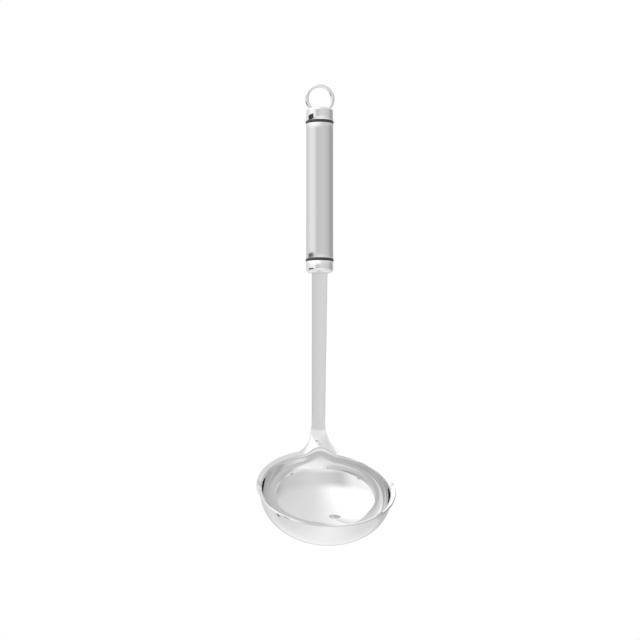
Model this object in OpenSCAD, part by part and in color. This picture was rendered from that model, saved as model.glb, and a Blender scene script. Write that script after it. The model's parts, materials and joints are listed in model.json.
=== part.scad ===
// Soup ladle of stainless steel with a round tube handle, in millimetres
// The handle stands along +Z and the bowl opens towards -Y and up
// The origin is the centre of the hanging ring

/* [Handle] */
// Outer diameter of the handle tube, its cap and its ferrule
tube_d = 18; // [14:0.5:24]
// Length of the handle tube
tube_l = 90.85; // [60:0.05:160]
// Wall of the handle tube
tube_wall = 0.8; // [0.5:0.1:1.5]
// Height of the end cap
cap_h = 8.65; // [5.5:0.05:12]
// Radius of the end cap's shoulder
cap_round = 2; // [0.5:0.1:4]
// Height of each black ring
band_h = 1.45; // [0.8:0.05:3]
// How far the black rings stand out from the tube
band_proud = 0.4; // [0.1:0.1:1]
// Height of the lower ferrule
ferrule_h = 7.9; // [5:0.1:12]
// Radius of the ferrule's lower edge
ferrule_round = 3; // [1:0.1:3.4]
// How far the cap and the ferrule reach into the tube
cap_spigot = 10; // [6:0.5:20]
ferrule_spigot = 14; // [10:0.5:25]

/* [Hanging ring] */
// Radius of the ring's centreline
ring_r = 8.7; // [7:0.1:12]
// Diameter of the ring's wire
ring_wire = 2.5; // [1.5:0.1:3]
// Height of the ring's centre above the end cap
ring_rise = 6.65; // [5:0.05:9]

/* [Shank and tang] */
// Width of the shank under the ferrule
shank_top = 10.5; // [8:0.1:14]
// Width of the shank above the neck
shank_low = 9; // [6:0.1:12]
// Thickness of the shank
shank_t = 2.8; // [1.5:0.1:4]
// Length of the shank from the ferrule to the bend at the neck
shank_l = 103.5; // [60:0.5:160]
// Width, thickness and length of the tang inside the ferrule
tang_w = 9; // [5:0.5:11]
tang_t = 2.4; // [1.5:0.1:3]
tang_l = 24; // [15:1:40]
// Diameter of the pin through the tang
pin_d = 3; // [2:0.5:4]

/* [Bowl] */
// Radius of the bowl's rim, at the edge of the pouring lip
rim_r = 44.4; // [35:0.5:60]
// Distance from the hanging ring down to the centre of the rim
rim_drop = 258.9; // [200:0.1:320]
// How far the centre of the rim is in front of the handle
rim_forward = 36; // [20:0.5:50]
// Tilt of the rim towards the front
rim_tilt = 34.5; // [0:0.1:60]
// Depth of the bowl under the rim, outside
bowl_depth = 32.6; // [20:0.1:60]
// Thickness of the pressed sheet
sheet_t = 1.1; // [0.8:0.1:2.5]
// Width and rise angle of the pouring lip
lip_w = 3.2; // [2:0.1:6]
lip_angle = 28; // [10:1:45]

/* [Neck] */
// Height over which the neck spreads from the shank to the lip
neck_h = 20.5; // [12:0.5:30]
// Thickness of the neck
neck_t = 2.4; // [1.5:0.1:3]
// How far each side of the neck spreads into the lip
neck_flare = 14; // [6:0.5:18]

/* [Hidden] */
$fn = 96;
eps = 0.01;
tube_r = tube_d / 2;
bore_r = tube_r - tube_wall;
cap_top = -ring_rise;
cap_low = cap_top - cap_h;
tube_top = cap_low - band_h;
tube_low = tube_top - tube_l;
ferrule_top = tube_low - band_h;
ferrule_low = ferrule_top - ferrule_h;
cap_wall = 1.5;
cap_floor = 5.6;

// Fullness of the bowl's section, 1 is an ellipse and less is fuller
bowl_full = 0.94;
bowl_steps = 28;
wall_out = rim_r - lip_w * cos(lip_angle) + sheet_t * 0.7;
wall_in = wall_out - sheet_t;
lip_drop = sheet_t / cos(lip_angle);
lip_bend = 2.2;

// The neck carries on the lip's cone up to the bend, at these [y, z] places
neck_z = ferrule_low - shank_l;
rim_back = [rim_r * cos(rim_tilt) - rim_forward, rim_r * sin(rim_tilt) - rim_drop];
neck_slope = rim_tilt + lip_angle;
bend_y = rim_back[0] + (neck_z - rim_back[1]) / tan(neck_slope);
neck_reach = (neck_z - rim_back[1]) / sin(neck_slope) * cos(lip_angle) + 4;

// A quarter arc from the side of a round body into its flat end
function corner(r, z, round, end_sign) = [
    for (a = [0:15:90]) [r - round + round * cos(a), z - end_sign * round * (1 - sin(a))]
];

// One side of the bowl's section, from the wall's top down to the axis
function bowl_side(r, depth, top) = concat(
    [for (i = [0:bowl_steps - 1])
        let (a = 90 * i / bowl_steps)
        [r * pow(cos(a), bowl_full), -top - (depth - top) * pow(sin(a), bowl_full)]],
    [[0, -depth]]
);

// Height of the lip's upper face at a distance r from the bowl's axis
function lip_z(r) = -(rim_r - r) * tan(lip_angle);

// Rounded bend from the lip's upper face into the inner wall
lip_turn = 90 - lip_angle;
function lip_bend_points() = [
    for (a = [0:lip_turn / 4:lip_turn + eps])
        [wall_in + lip_bend * (1 - sin(a + lip_angle)) + eps,
         lip_z(wall_in) + lip_bend * (cos(a + lip_angle) - tan(lip_turn / 2))]
];

function reverse(list) = [for (i = [len(list) - 1:-1:0]) list[i]];

// Half width of the shank and neck at a height z
function half_width(z) =
    let (
        down = ferrule_low - z,
        flat = shank_l - 6,
        width = shank_top + (shank_low - shank_top) * min(down / flat, 1),
        s = min(max(down - flat + 4, 0) / neck_h, 1)
    )
    width / 2 + neck_flare * (1 - sqrt(1 - pow(s, 2.3)));

module lathe(points) {
    rotate_extrude() polygon(points);
}

// A tube of height h standing on z
module tube(z, h, r_out, r_in) {
    translate([0, 0, z]) difference() {
        cylinder(r = r_out, h = h);
        translate([0, 0, -1]) cylinder(r = r_in, h = h + 2);
    }
}

module ring_shape() {
    rotate([90, 0, 0]) rotate_extrude() translate([ring_r, 0]) circle(d = ring_wire);
}

module hanging_ring() {
    color("silver") ring_shape();
}

module end_cap() {
    color("silver") difference() {
        union() {
            lathe(concat([[0, cap_low]], [[tube_r, cap_low]],
                corner(tube_r, cap_top, cap_round, 1), [[0, cap_top]]));
            translate([0, 0, cap_low - cap_spigot]) cylinder(r = bore_r, h = cap_spigot + 1);
        }
        ring_shape();
        translate([0, 0, cap_low - cap_spigot - 1])
            cylinder(r = bore_r - cap_wall, h = cap_spigot + 1 + cap_h - cap_floor);
    }
}

// A black ring between the tube and its neighbour
module band(z) {
    color("black") tube(z, band_h, tube_r + band_proud, bore_r);
}

module upper_band() {
    band(tube_top);
}

module lower_band() {
    band(ferrule_top);
}

module handle_tube() {
    color("gainsboro") tube(tube_low, tube_l, tube_r, bore_r);
}

module tang_shape() {
    translate([-tang_w / 2, -tang_t / 2, ferrule_low]) cube([tang_w, tang_t, tang_l]);
}

module pin_shape() {
    translate([0, 0, ferrule_top + ferrule_spigot / 2]) rotate([90, 0, 0])
        cylinder(d = pin_d, h = 2 * bore_r - 2, center = true);
}

module ferrule() {
    color("silver") difference() {
        union() {
            lathe(concat([[0, ferrule_top]], [[tube_r, ferrule_top]],
                corner(tube_r, ferrule_low, ferrule_round, -1), [[0, ferrule_low]]));
            translate([0, 0, ferrule_top - 1]) cylinder(r = bore_r, h = ferrule_spigot + 1);
        }
        translate([0, 0, -1]) tang_shape();
        tang_shape();
        pin_shape();
    }
}

module tang_pin() {
    color("gray") pin_shape();
}

// The pressed bowl with its turned-out lip, in its own upright frame
module bowl_shell() {
    outer = bowl_side(wall_out, bowl_depth, 3.2);
    inner = bowl_side(wall_in, bowl_depth - sheet_t, lip_bend + 2.2);
    lathe(concat(
        [[wall_out + 0.1, lip_z(wall_out) - lip_drop]],
        [[rim_r, -lip_drop], [rim_r, -0.25], [rim_r - 0.25, 0]],
        lip_bend_points(),
        inner,
        reverse(outer)
    ));
}

// The lip's cone carried on outwards all round, in the bowl's own frame
module neck_cone() {
    rise = tan(lip_angle);
    drop = neck_t / cos(lip_angle);
    lathe([
        [rim_r - 1, -rise],
        [rim_r + neck_reach, neck_reach * rise],
        [rim_r + neck_reach, neck_reach * rise - drop],
        [rim_r - 1, -rise - drop]
    ]);
}

// The flat shank from the ferrule down to the bend, cut to its width later
module shank_side() {
    rotate([90, 0, 90]) linear_extrude(height = 2 * shank_top, center = true) polygon([
        [-shank_t / 2, ferrule_low],
        [bend_y, neck_z],
        [bend_y + shank_t, neck_z],
        [shank_t / 2, ferrule_low]
    ]);
}

// Front outline of the shank and the neck's flare
module front_outline() {
    steps = 24;
    flare = [for (i = [0:steps])
        let (z = neck_z + 2 - neck_h * i / steps)
        [half_width(z), z]];
    half = concat([[shank_top / 2, ferrule_low]], flare);
    rotate([90, 0, 0]) linear_extrude(height = 60, center = true)
        polygon(concat(half, reverse([for (p = half) [-p[0], p[1]]])));
}

module below_bend() {
    translate([-30, -30, neck_z - 30]) cube([60, 60, 30]);
}

module bowl_place() {
    translate([0, -rim_forward, -rim_drop]) rotate([rim_tilt, 0, 0]) children();
}

module bowl_and_shank() {
    color("silver") difference() {
        union() {
            bowl_place() bowl_shell();
            intersection() {
                bowl_place() neck_cone();
                front_outline();
                below_bend();
            }
            intersection() {
                shank_side();
                front_outline();
            }
            tang_shape();
        }
        pin_shape();
    }
}

hanging_ring();
end_cap();
upper_band();
handle_tube();
lower_band();
ferrule();
tang_pin();
bowl_and_shank();
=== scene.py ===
"""Dresses the soup ladle: smooth pressed steel, a satin tube handle and black rings."""

import json
import math

import bmesh
import bpy
from mathutils import Matrix, Vector

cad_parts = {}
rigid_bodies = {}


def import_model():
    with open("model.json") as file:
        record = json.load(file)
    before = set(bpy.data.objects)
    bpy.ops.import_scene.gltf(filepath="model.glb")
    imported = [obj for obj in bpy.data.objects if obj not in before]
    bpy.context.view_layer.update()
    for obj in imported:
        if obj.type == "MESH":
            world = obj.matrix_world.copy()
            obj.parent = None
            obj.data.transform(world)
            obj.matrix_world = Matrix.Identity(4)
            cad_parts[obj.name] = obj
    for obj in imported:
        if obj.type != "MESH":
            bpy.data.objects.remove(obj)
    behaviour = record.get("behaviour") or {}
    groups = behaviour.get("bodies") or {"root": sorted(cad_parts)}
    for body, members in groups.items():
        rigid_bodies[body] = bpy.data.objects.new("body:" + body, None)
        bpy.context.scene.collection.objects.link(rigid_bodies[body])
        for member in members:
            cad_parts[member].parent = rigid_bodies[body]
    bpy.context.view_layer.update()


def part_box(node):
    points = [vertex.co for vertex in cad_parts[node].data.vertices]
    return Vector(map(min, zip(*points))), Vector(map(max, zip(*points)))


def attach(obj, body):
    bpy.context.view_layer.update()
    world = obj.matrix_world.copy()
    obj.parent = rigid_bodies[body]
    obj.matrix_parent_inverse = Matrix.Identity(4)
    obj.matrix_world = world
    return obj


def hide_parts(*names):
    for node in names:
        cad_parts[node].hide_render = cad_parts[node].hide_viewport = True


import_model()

MM = 0.001

# Sizes in millimetres, as in the CAD source
RIM_R = 44.4
RIM_DROP = 258.9
RIM_FORWARD = 36.0
RIM_TILT = math.radians(34.5)
BOWL_DEPTH = 32.6
BOWL_FULL = 0.94
SHEET = 1.1
LIP_ANGLE = math.radians(28)
LIP_BEND = 2.2
WALL_OUT = 42.34
WALL_IN = WALL_OUT - SHEET
SHANK_TOP = 10.5
SHANK_LOW = 9.0
SHANK_T = 2.8
SHANK_L = 103.5
CAP_ROUND = 2.0
FERRULE_ROUND = 3.0
RING_R = 8.7
RING_WIRE = 2.5

# Sizes in millimetres of what only this script shows
WALL_TOP = 4.4
FLARE_RISE = 6.0
NECK_H = 22.2
NECK_FLARE = 16.0
FLARE_POWER = 2.3
SHANK_DOME = 0.6
DOME_FADE = 12.0
SHANK_INTO_FERRULE = 0.4
BEND_SOFT = 1.6
PRESSED_EDGE = 1.0
TURNED_EDGE = 0.25
TUBE_EDGE = 0.3

# The raised fold between the wall and the neck: half width, rise, reach to the front,
# how far it fades down the wall, and its share of the full height at the wall's top
FOLD_W = 12.0
FOLD_UP = 4.2
FOLD_FORWARD = 2.2
FOLD_DEPTH = 12.0
FOLD_AT_WALL = 0.8

# Where the sheet grows to the shank's thickness: start under the rim, and height
THICKEN_START = 3.0
THICKEN_H = 8.0

# Counts of faces
LATHE_STEPS = 128
WALL_ROWS = 40
BEND_ROWS = 8
LIP_ROWS = 18
SHANK_ROWS = 70
SHANK_ROW_GROWTH = 1.3
TUBE_ROWS = 20
MIDDLE_COLUMNS = 16
FLARE_COLUMNS = 40
OTHER_COLUMNS = 200
RING_STEPS = 160
WIRE_STEPS = 32

# The neck's flare lies within this angle of the bowl, and this sine
FLARE_START = math.radians(60)
FLARE_SINE = 0.8

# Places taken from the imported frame
cap_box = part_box("end_cap")
ferrule_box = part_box("ferrule")
tube_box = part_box("handle_tube")
band_boxes = {name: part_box(name) for name in ("upper_band", "lower_band")}
TUBE_R = tube_box[1][0] / MM
CAP_TOP = cap_box[1][2] / MM
CAP_LOW = band_boxes["upper_band"][1][2] / MM
TUBE_TOP = tube_box[1][2] / MM
TUBE_LOW = tube_box[0][2] / MM
FERRULE_TOP = band_boxes["lower_band"][0][2] / MM
FERRULE_LOW = ferrule_box[0][2] / MM

# The back of the rim, the neck's slope and the bend where the shank starts
RIM_BACK_Y = RIM_R * math.cos(RIM_TILT) - RIM_FORWARD
RIM_BACK_Z = RIM_R * math.sin(RIM_TILT) - RIM_DROP
NECK_SLOPE = RIM_TILT + LIP_ANGLE
NECK_Z = FERRULE_LOW - SHANK_L
BEND_Y = RIM_BACK_Y + (NECK_Z - RIM_BACK_Z) / math.tan(NECK_SLOPE)


# Mesh helpers


def piece(name, bm, material, node):
    """Makes a smooth object that rides the root body in place of one CAD node."""
    mesh = bpy.data.meshes.new(name)
    bmesh.ops.recalc_face_normals(bm, faces=bm.faces)
    for face in bm.faces:
        face.smooth = True
    bm.to_mesh(mesh)
    bm.free()
    mesh.materials.append(material)
    obj = bpy.data.objects.new(name, mesh)
    bpy.context.scene.collection.objects.link(obj)
    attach(obj, "root")
    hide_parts(node)
    return obj


def circle(bm, radius, z):
    """The corners of one circle round the Z axis, or one point on the axis, in mm."""
    if radius < 1e-6:
        return [bm.verts.new((0, 0, z * MM))]
    angles = [2 * math.pi * i / LATHE_STEPS for i in range(LATHE_STEPS)]
    return [
        bm.verts.new((radius * MM * math.cos(a), radius * MM * math.sin(a), z * MM))
        for a in angles
    ]


def lathe(profile):
    """Turns a list of (radius, z) points in mm round the Z axis."""
    bm = bmesh.new()
    rings = [circle(bm, radius, z) for radius, z in profile]
    for low, high in zip(rings, rings[1:]):
        for i in range(LATHE_STEPS):
            j = (i + 1) % LATHE_STEPS
            if len(low) == 1:
                bm.faces.new((low[0], high[i], high[j]))
            elif len(high) == 1:
                bm.faces.new((low[i], low[j], high[0]))
            else:
                bm.faces.new((low[i], low[j], high[j], high[i]))
    return bm


def arc(cx, cz, radius, start, end, steps=10):
    """Points on an arc from start to end, in degrees."""
    angles = [math.radians(start + (end - start) * i / steps) for i in range(steps + 1)]
    return [(cx + radius * math.cos(a), cz + radius * math.sin(a)) for a in angles]


# Materials


class Nodes:
    """Adds shader nodes to a material or a world, and links them."""

    def __init__(self, owner):
        self.tree = owner.node_tree

    def feed(self, node, **inputs):
        """Sets or links inputs, named with _ for a space or numbered as i6."""
        for key, value in inputs.items():
            name = int(key[1:]) if key[1:].isdigit() else key.replace("_", " ")
            socket = node.inputs[name]
            if isinstance(value, bpy.types.NodeSocket):
                self.tree.links.new(value, socket)
            else:
                socket.default_value = value

    def add(self, kind, settings=None, **inputs):
        node = self.tree.nodes.new(kind)
        for key, value in (settings or {}).items():
            setattr(node, key, value)
        self.feed(node, **inputs)
        return node

    def math(self, operation, a, b=0.0):
        return self.add("ShaderNodeMath", {"operation": operation}, i0=a, i1=b).outputs[0]

    def mix(self, factor, a, b):
        node = self.add("ShaderNodeMix", {"data_type": "RGBA"}, Factor=factor, i6=a, i7=b)
        return node.outputs[2]

    def between(self, value, low, high):
        node = self.add("ShaderNodeMapRange", Value=value, To_Min=low, To_Max=high)
        return node.outputs[0]

    def noise(self, place, scale, detail):
        node = self.add("ShaderNodeTexNoise", Vector=place, Scale=scale, Detail=detail)
        return node.outputs[0]

    def bump(self, height, strength, distance):
        node = self.add(
            "ShaderNodeBump", Strength=strength, Distance=distance, Height=height
        )
        return node.outputs[0]


def grey(level):
    return (level, level, level, 1.0)


def new_material(name, **values):
    """A new material, its nodes, its shader and the place on the object."""
    material = bpy.data.materials.new(name)
    material.use_nodes = True
    shader = material.node_tree.nodes["Principled BSDF"]
    nodes = Nodes(material)
    nodes.feed(shader, **values)
    place = nodes.add("ShaderNodeTexCoord").outputs["Object"]
    return material, nodes, shader, place


def polished_steel():
    material, nodes, shader, place = new_material("polished_steel", Metallic=1.0)
    cloud = nodes.noise(place, 60.0, 3.0)
    fine = nodes.noise(place, 1800.0, 4.0)
    nodes.feed(
        shader,
        Base_Color=nodes.mix(cloud, grey(0.80), grey(0.84)),
        Roughness=nodes.between(cloud, 0.0315, 0.063),
        Normal=nodes.bump(fine, 0.012, 0.0002),
    )
    return material


def satin_steel():
    """Steel with fine brushed lines round the handle."""
    material, nodes, shader, place = new_material(
        "satin_steel", Metallic=1.0, Anisotropic=0.5
    )
    flat = nodes.add("ShaderNodeMapping", Vector=place, Scale=(350.0, 350.0, 9000.0))
    lines = nodes.noise(flat.outputs[0], 1.0, 5.0)
    tangent = nodes.add("ShaderNodeTangent", {"direction_type": "RADIAL", "axis": "Z"})
    nodes.feed(
        shader,
        Base_Color=nodes.mix(lines, grey(0.70), grey(0.75)),
        Roughness=nodes.between(lines, 0.25, 0.30),
        Normal=nodes.bump(lines, 0.02, 0.00005),
        Tangent=tangent.outputs[0],
    )
    return material


def black_rubber():
    material, nodes, shader, place = new_material("black_rubber")
    grain = nodes.noise(place, 3000.0, 3.0)
    nodes.feed(
        shader,
        Base_Color=nodes.mix(grain, grey(0.025), grey(0.05)),
        Roughness=nodes.between(grain, 0.4, 0.6),
        Normal=nodes.bump(grain, 0.15, 0.00005),
    )
    return material


STEEL = polished_steel()
SATIN = satin_steel()
RUBBER = black_rubber()


# The form of the pressed bowl, neck and shank


def half_width(z):
    """Half the width of the shank, and of the neck's flare under it, at z."""
    down = FERRULE_LOW - z
    straight = SHANK_L - FLARE_RISE
    width = SHANK_TOP + (SHANK_LOW - SHANK_TOP) * min(down / straight, 1)
    s = min(max(down - straight, 0) / NECK_H, 1)
    return width / 2 + NECK_FLARE * (1 - math.sqrt(1 - s**FLARE_POWER))


def from_bowl(r, angle, h):
    """A point at radius r, angle from +X and height h over the rim, in the frame."""
    back = r * math.sin(angle)
    return Vector(
        (
            r * math.cos(angle),
            back * math.cos(RIM_TILT) - h * math.sin(RIM_TILT) - RIM_FORWARD,
            back * math.sin(RIM_TILT) + h * math.cos(RIM_TILT) - RIM_DROP,
        )
    )


def cone_h(r):
    """Height over the rim of the lip's and the neck's cone."""
    return (r - RIM_R) * math.tan(LIP_ANGLE)


def shank_y(z):
    return BEND_Y * (FERRULE_LOW - z) / SHANK_L


def neck_y(z):
    return RIM_BACK_Y + (z - RIM_BACK_Z) / math.tan(NECK_SLOPE)


def soft_min(a, b):
    """The smaller of two numbers, rounded where they meet."""
    return 0.5 * (a + b - math.sqrt((a - b) ** 2 + BEND_SOFT**2))


def edge_radius(angle):
    """How far the lip or neck reaches out along one angle of the bowl."""

    def inside(r):
        p = from_bowl(r, angle, cone_h(r))
        return p.z < NECK_Z and abs(p.x) < half_width(p.z)

    if math.sin(angle) < FLARE_SINE or not inside(RIM_R + 0.01):
        return RIM_R
    low, high = RIM_R, RIM_R + 30
    for _ in range(40):
        mid = (low + high) / 2
        low, high = (mid, high) if inside(mid) else (low, mid)
    return low


def column_angles():
    """The angles of the bowl's columns, and the first and last under the shank."""
    bend_r = RIM_R + (NECK_Z - RIM_BACK_Z) / math.sin(NECK_SLOPE) * math.cos(LIP_ANGLE)
    centre = math.acos(half_width(NECK_Z) / bend_r)

    def span(a, b, n):
        return [a + (b - a) * i / n for i in range(n)]

    right = span(FLARE_START, centre, FLARE_COLUMNS)
    middle = span(centre, math.pi - centre, MIDDLE_COLUMNS)
    left = span(math.pi - centre, math.pi - FLARE_START, FLARE_COLUMNS)
    rest = span(math.pi - FLARE_START, 2 * math.pi + FLARE_START, OTHER_COLUMNS)
    return right + middle + left + rest, FLARE_COLUMNS, FLARE_COLUMNS + MIDDLE_COLUMNS


def raised(p, share):
    """The point p, lifted by its share of the fold between the wall and the neck."""
    k = share * math.cos(min(abs(p.x) / FOLD_W, 1) * math.pi / 2) ** 2
    return p + Vector((0, -FOLD_FORWARD * k, FOLD_UP * k))


def wall_points(angle):
    """The inner wall from its foot up to the bend, each point with its share."""
    depth = BOWL_DEPTH - SHEET - WALL_TOP
    points = []
    for i in range(1, WALL_ROWS + 1):
        t = math.radians(90 * (1 - i / WALL_ROWS))
        r = WALL_IN * math.cos(t) ** BOWL_FULL
        h = -WALL_TOP - depth * math.sin(t) ** BOWL_FULL
        fade = max(0.0, 1 - (-h - WALL_TOP) / FOLD_DEPTH) ** 2
        points.append((from_bowl(r, angle, h), fade * FOLD_AT_WALL))
    return points


def bend_points(angle):
    """The rounded bend from the wall out into the lip."""
    turn = math.pi / 2 - LIP_ANGLE
    points = []
    for i in range(BEND_ROWS + 1):
        a = turn * (1 - i / BEND_ROWS)
        r = WALL_IN + LIP_BEND * (1 - math.sin(a + LIP_ANGLE))
        h = cone_h(WALL_IN) + LIP_BEND * (math.cos(a + LIP_ANGLE) - math.tan(turn / 2))
        share = FOLD_AT_WALL + (1 - FOLD_AT_WALL) * i / BEND_ROWS
        points.append((from_bowl(r, angle, h), share))
    return points


def lip_points(angle):
    """The lip out to its edge, which behind the bowl is the neck's."""
    start = WALL_IN + LIP_BEND * (1 - math.sin(LIP_ANGLE))
    end = edge_radius(angle)
    points = []
    for i in range(1, LIP_ROWS + 1):
        u = i / LIP_ROWS
        r = start + (end - start) * u
        points.append((from_bowl(r, angle, cone_h(r)), (1 - u) ** 2))
    return points


def column(angle):
    """The inner face from the wall's foot to the edge of the lip or neck."""
    wall = wall_points(angle) + bend_points(angle)
    lip = lip_points(angle)
    if math.sin(angle) <= 0:
        return [p for p, _ in wall + lip]
    wall = [raised(p, share) for p, share in wall]
    lip = [raised(p, share) for p, share in lip]
    for p in lip:
        if math.sin(angle) > FLARE_SINE and p.z > RIM_BACK_Z:
            p.y = soft_min(p.y, shank_y(p.z))
    return wall + lip


# Its mesh: one inner face, thickened by a modifier


def add_bowl(bm, thick, angles):
    """The bowl, lip and neck. Returns its columns of corners."""
    bottom = bm.verts.new(from_bowl(0, 0, SHEET - BOWL_DEPTH) * MM)
    bottom[thick][0] = SHEET / SHANK_T
    grid = []
    for angle in angles:
        rows = []
        for p in column(angle):
            v = bm.verts.new(p * MM)
            rise = min(max((p.z - RIM_BACK_Z + THICKEN_START) / THICKEN_H, 0), 1)
            v[thick][0] = (SHEET + (SHANK_T - SHEET) * rise) / SHANK_T
            rows.append(v)
        grid.append(rows)
    for a, b in zip(grid, grid[1:] + grid[:1]):
        bm.faces.new((bottom, a[0], b[0]))
        for k in range(len(a) - 1):
            bm.faces.new((a[k], a[k + 1], b[k + 1], b[k]))
    return grid


def add_shank(bm, thick, feet):
    """The shank, from the neck's upper corners to the ferrule."""
    top = FERRULE_LOW + SHANK_INTO_FERRULE
    columns = []
    for foot in feet:
        share = foot.co.x / MM / half_width(NECK_Z)
        line = [foot]
        for k in range(1, SHANK_ROWS + 1):
            z = NECK_Z + (top - NECK_Z) * (k / SHANK_ROWS) ** SHANK_ROW_GROWTH
            fade = min(max((z - NECK_Z) / DOME_FADE, 0), 1)
            y = soft_min(neck_y(z), shank_y(z)) - SHANK_DOME * fade * (1 - share**2)
            v = bm.verts.new(Vector((share * half_width(z), y, z)) * MM)
            v[thick][0] = 1.0
            line.append(v)
        columns.append(line)
    for a, b in zip(columns, columns[1:]):
        for k in range(SHANK_ROWS):
            bm.faces.new((a[k], a[k + 1], b[k + 1], b[k]))


def thicken(obj):
    """Gives the sheet its thickness, by vertex group, and rounds its edges."""
    if obj.data.polygons[0].normal.z < 0:
        obj.data.flip_normals()
    group = obj.vertex_groups.new(name="thickness")
    solid = obj.modifiers.new("sheet", "SOLIDIFY")
    solid.thickness = SHANK_T * MM
    solid.offset = -1.0
    solid.vertex_group = group.name
    solid.use_quality_normals = True
    edge = obj.modifiers.new("soft_edges", "BEVEL")
    edge.width = PRESSED_EDGE * MM
    edge.segments = 4
    edge.limit_method = "ANGLE"
    edge.angle_limit = math.radians(50)


def build_bowl_and_shank():
    bm = bmesh.new()
    thick = bm.verts.layers.deform.verify()
    angles, first, last = column_angles()
    grid = add_bowl(bm, thick, angles)
    add_shank(bm, thick, [rows[-1] for rows in grid[first : last + 1]])
    thicken(piece("bowl_neck_shank", bm, STEEL, "bowl_and_shank"))


# The handle


def build_end_cap():
    profile = (
        [(0, CAP_LOW), (TUBE_R - TURNED_EDGE, CAP_LOW), (TUBE_R, CAP_LOW + TURNED_EDGE)]
        + arc(TUBE_R - CAP_ROUND, CAP_TOP - CAP_ROUND, CAP_ROUND, 0, 90)
        + [(0, CAP_TOP)]
    )
    piece("end_cap_polished", lathe(profile), STEEL, "end_cap")


def build_ferrule():
    profile = (
        [(0, FERRULE_LOW)]
        + arc(TUBE_R - FERRULE_ROUND, FERRULE_LOW + FERRULE_ROUND, FERRULE_ROUND, -90, 0)
        + [(TUBE_R, FERRULE_TOP - TURNED_EDGE), (TUBE_R - TURNED_EDGE, FERRULE_TOP)]
        + [(0, FERRULE_TOP)]
    )
    piece("ferrule_polished", lathe(profile), STEEL, "ferrule")


def build_tube():
    low = TUBE_LOW + TUBE_EDGE
    length = TUBE_TOP - TUBE_LOW - 2 * TUBE_EDGE
    profile = (
        [(0, TUBE_LOW), (TUBE_R - TUBE_EDGE, TUBE_LOW)]
        + [(TUBE_R, low + length * i / TUBE_ROWS) for i in range(TUBE_ROWS + 1)]
        + [(TUBE_R - TUBE_EDGE, TUBE_TOP), (0, TUBE_TOP)]
    )
    piece("handle_tube_satin", lathe(profile), SATIN, "handle_tube")


def build_bands():
    for name, (low, high) in band_boxes.items():
        z0, z1 = low[2] / MM, high[2] / MM
        outer = high[0] / MM
        soft = (z1 - z0) / 2 * 0.8
        profile = (
            [(0, z0)]
            + arc(outer - soft, z0 + soft, soft, -90, 0, 6)
            + arc(outer - soft, z1 - soft, soft, 0, 90, 6)
            + [(0, z1)]
        )
        band = piece(name + "_rubber", lathe(profile), RUBBER, name)


def build_hanging_ring():
    """A ring of round wire that stands in the XZ plane."""
    bm = bmesh.new()
    wire_r = RING_WIRE / 2
    rings = []
    for i in range(RING_STEPS):
        a = 2 * math.pi * i / RING_STEPS
        ring = []
        for j in range(WIRE_STEPS):
            b = 2 * math.pi * j / WIRE_STEPS
            reach = RING_R + wire_r * math.cos(b)
            p = Vector((reach * math.cos(a), wire_r * math.sin(b), reach * math.sin(a)))
            ring.append(bm.verts.new(p * MM))
        rings.append(ring)
    for p, q in zip(rings, rings[1:] + rings[:1]):
        for j in range(WIRE_STEPS):
            k = (j + 1) % WIRE_STEPS
            bm.faces.new((p[j], q[j], q[k], p[k]))
    piece("hanging_ring_wire", bm, STEEL, "hanging_ring")


def dress_tang_pin():
    """The pin keeps its CAD solid and gets the steel."""
    for obj in bpy.data.objects:
        if obj.name == "tang_pin" and obj.type == "MESH":
            obj.data.materials.clear()
            obj.data.materials.append(STEEL)


# The studio: light by direction, which only the reflections show. The camera sees white

# Level at each azimuth from the front in degrees, left negative, near the horizon
AROUND = [(-180, 0.72), (-120, 0.90), (-80, 1.12), (-55, 1.05), (-27, 0.68), (0, 0.76)]
AROUND += [(16, 0.80), (60, 0.70), (107, 0.42), (140, 0.60), (180, 0.72)]
# Level from the left, 0, to the right, 1, overhead and underneath
OVERHEAD = [(0, 1.45), (0.34, 1.30), (0.66, 0.86), (1, 0.78)]
UNDERNEATH = [(0, 0.80), (0.5, 1.05), (1, 0.80)]
# Heights in degrees over which the horizon's light gives way to these two
TO_OVERHEAD = (15, 40)
TO_UNDERNEATH = (-12, -27)
# A dark card on the left: its azimuths, heights and soft edge in degrees, and its level
CARD_LEFT, CARD_RIGHT = -118, -62
CARD_LOW, CARD_HIGH = -26, -3
CARD_SOFT = 3.0
CARD_LEVEL = 0.06


def ramp(nodes, value, stops):
    node = nodes.add("ShaderNodeValToRGB", Fac=value)
    elements = node.color_ramp.elements
    node.color_ramp.interpolation = "EASE"
    while len(elements) < len(stops):
        elements.new(0.5)
    for element, (where, _) in zip(elements, stops):
        element.position = where
    for element, (_, level) in zip(elements, stops):
        element.color = grey(level)
    return node.outputs[0]


def step(nodes, value, start, end):
    """Rises smoothly from 0 at start to 1 at end."""
    node = nodes.add(
        "ShaderNodeMapRange",
        {"interpolation_type": "SMOOTHSTEP"},
        Value=value,
        From_Min=float(start),
        From_Max=float(end),
    )
    return node.outputs[0]


def card_mask(nodes, compass, height):
    """1 inside the dark card and 0 outside it."""
    edges = [
        step(nodes, compass, CARD_LEFT - CARD_SOFT, CARD_LEFT + CARD_SOFT),
        step(nodes, compass, CARD_RIGHT + CARD_SOFT, CARD_RIGHT - CARD_SOFT),
        step(nodes, height, CARD_LOW - CARD_SOFT, CARD_LOW + CARD_SOFT),
        step(nodes, height, CARD_HIGH + CARD_SOFT, CARD_HIGH - CARD_SOFT),
    ]
    mask = edges[0]
    for edge in edges[1:]:
        mask = nodes.math("MULTIPLY", mask, edge)
    return mask


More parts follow.
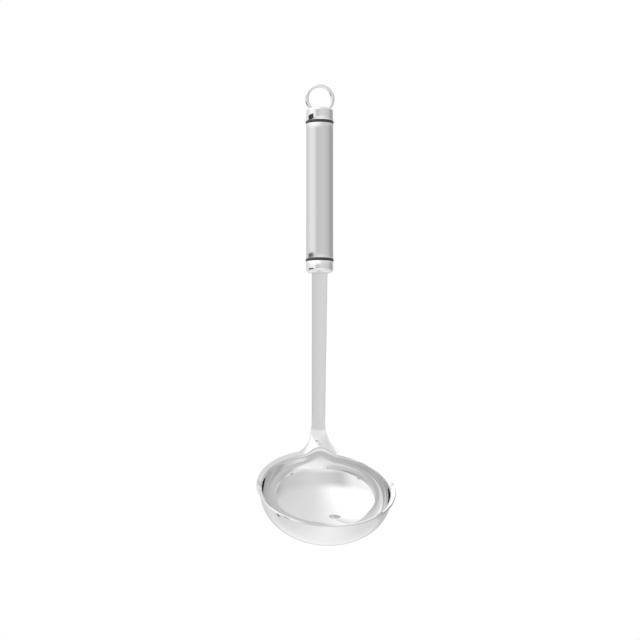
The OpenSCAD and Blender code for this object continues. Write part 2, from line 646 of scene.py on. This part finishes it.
def build_world():
    world = bpy.data.worlds.new("studio")
    bpy.context.scene.world = world
    world.use_nodes = True
    world.node_tree.nodes.clear()
    nodes = Nodes(world)
    way = nodes.add("ShaderNodeTexCoord").outputs["Generated"]
    x, y, z = nodes.add("ShaderNodeSeparateXYZ", Vector=way).outputs
    turn = nodes.math("ARCTAN2", x, nodes.math("MULTIPLY", y, -1.0))
    turn = nodes.math("ADD", nodes.math("DIVIDE", turn, 2 * math.pi), 0.5)
    compass = nodes.math("MULTIPLY", nodes.math("SUBTRACT", turn, 0.5), 360.0)
    height = nodes.math("MULTIPLY", nodes.math("ARCSINE", z), 180 / math.pi)
    side = nodes.math("ADD", nodes.math("MULTIPLY", x, 0.5), 0.5)

    around = ramp(nodes, turn, [(a / 360 + 0.5, level) for a, level in AROUND])
    above = step(nodes, height, *TO_OVERHEAD)
    below = step(nodes, height, *TO_UNDERNEATH)
    light = nodes.mix(above, around, ramp(nodes, side, OVERHEAD))
    light = nodes.mix(below, light, ramp(nodes, side, UNDERNEATH))
    light = nodes.mix(card_mask(nodes, compass, height), light, grey(CARD_LEVEL))
    camera = nodes.add("ShaderNodeLightPath").outputs["Is Camera Ray"]
    light = nodes.mix(camera, light, grey(1.0))
    shine = nodes.add("ShaderNodeBackground", Color=light, Strength=1.0)
    nodes.add("ShaderNodeOutputWorld", Surface=shine.outputs[0])


# The camera, fitted to the photograph

DISTANCE = 1600 * MM
CAMERA_UP = math.radians(5.34)
CAMERA_LEFT = math.radians(6.87)
AIM = Vector((0.20, 0.0, -148.05)) * MM
LENS = 136.2
SENSOR = 36


def build_camera():
    forward = Vector(
        (
            math.sin(CAMERA_LEFT) * math.cos(CAMERA_UP),
            math.cos(CAMERA_LEFT) * math.cos(CAMERA_UP),
            math.sin(CAMERA_UP),
        )
    )
    right = Vector((math.cos(CAMERA_LEFT), -math.sin(CAMERA_LEFT), 0))
    up = right.cross(forward)
    data = bpy.data.cameras.new("photo_camera")
    data.lens = LENS
    data.sensor_width = SENSOR
    data.clip_start = 0.01
    camera = bpy.data.objects.new("photo_camera", data)
    turn = Matrix((right, up, -forward)).transposed().to_4x4()
    camera.matrix_world = Matrix.Translation(AIM - forward * DISTANCE) @ turn
    bpy.context.scene.collection.objects.link(camera)
    bpy.context.scene.camera = camera


build_bowl_and_shank()
build_end_cap()
build_ferrule()
build_tube()
build_bands()
build_hanging_ring()
dress_tang_pin()
build_world()
build_camera()
bpy.context.scene.view_settings.view_transform = "Standard"
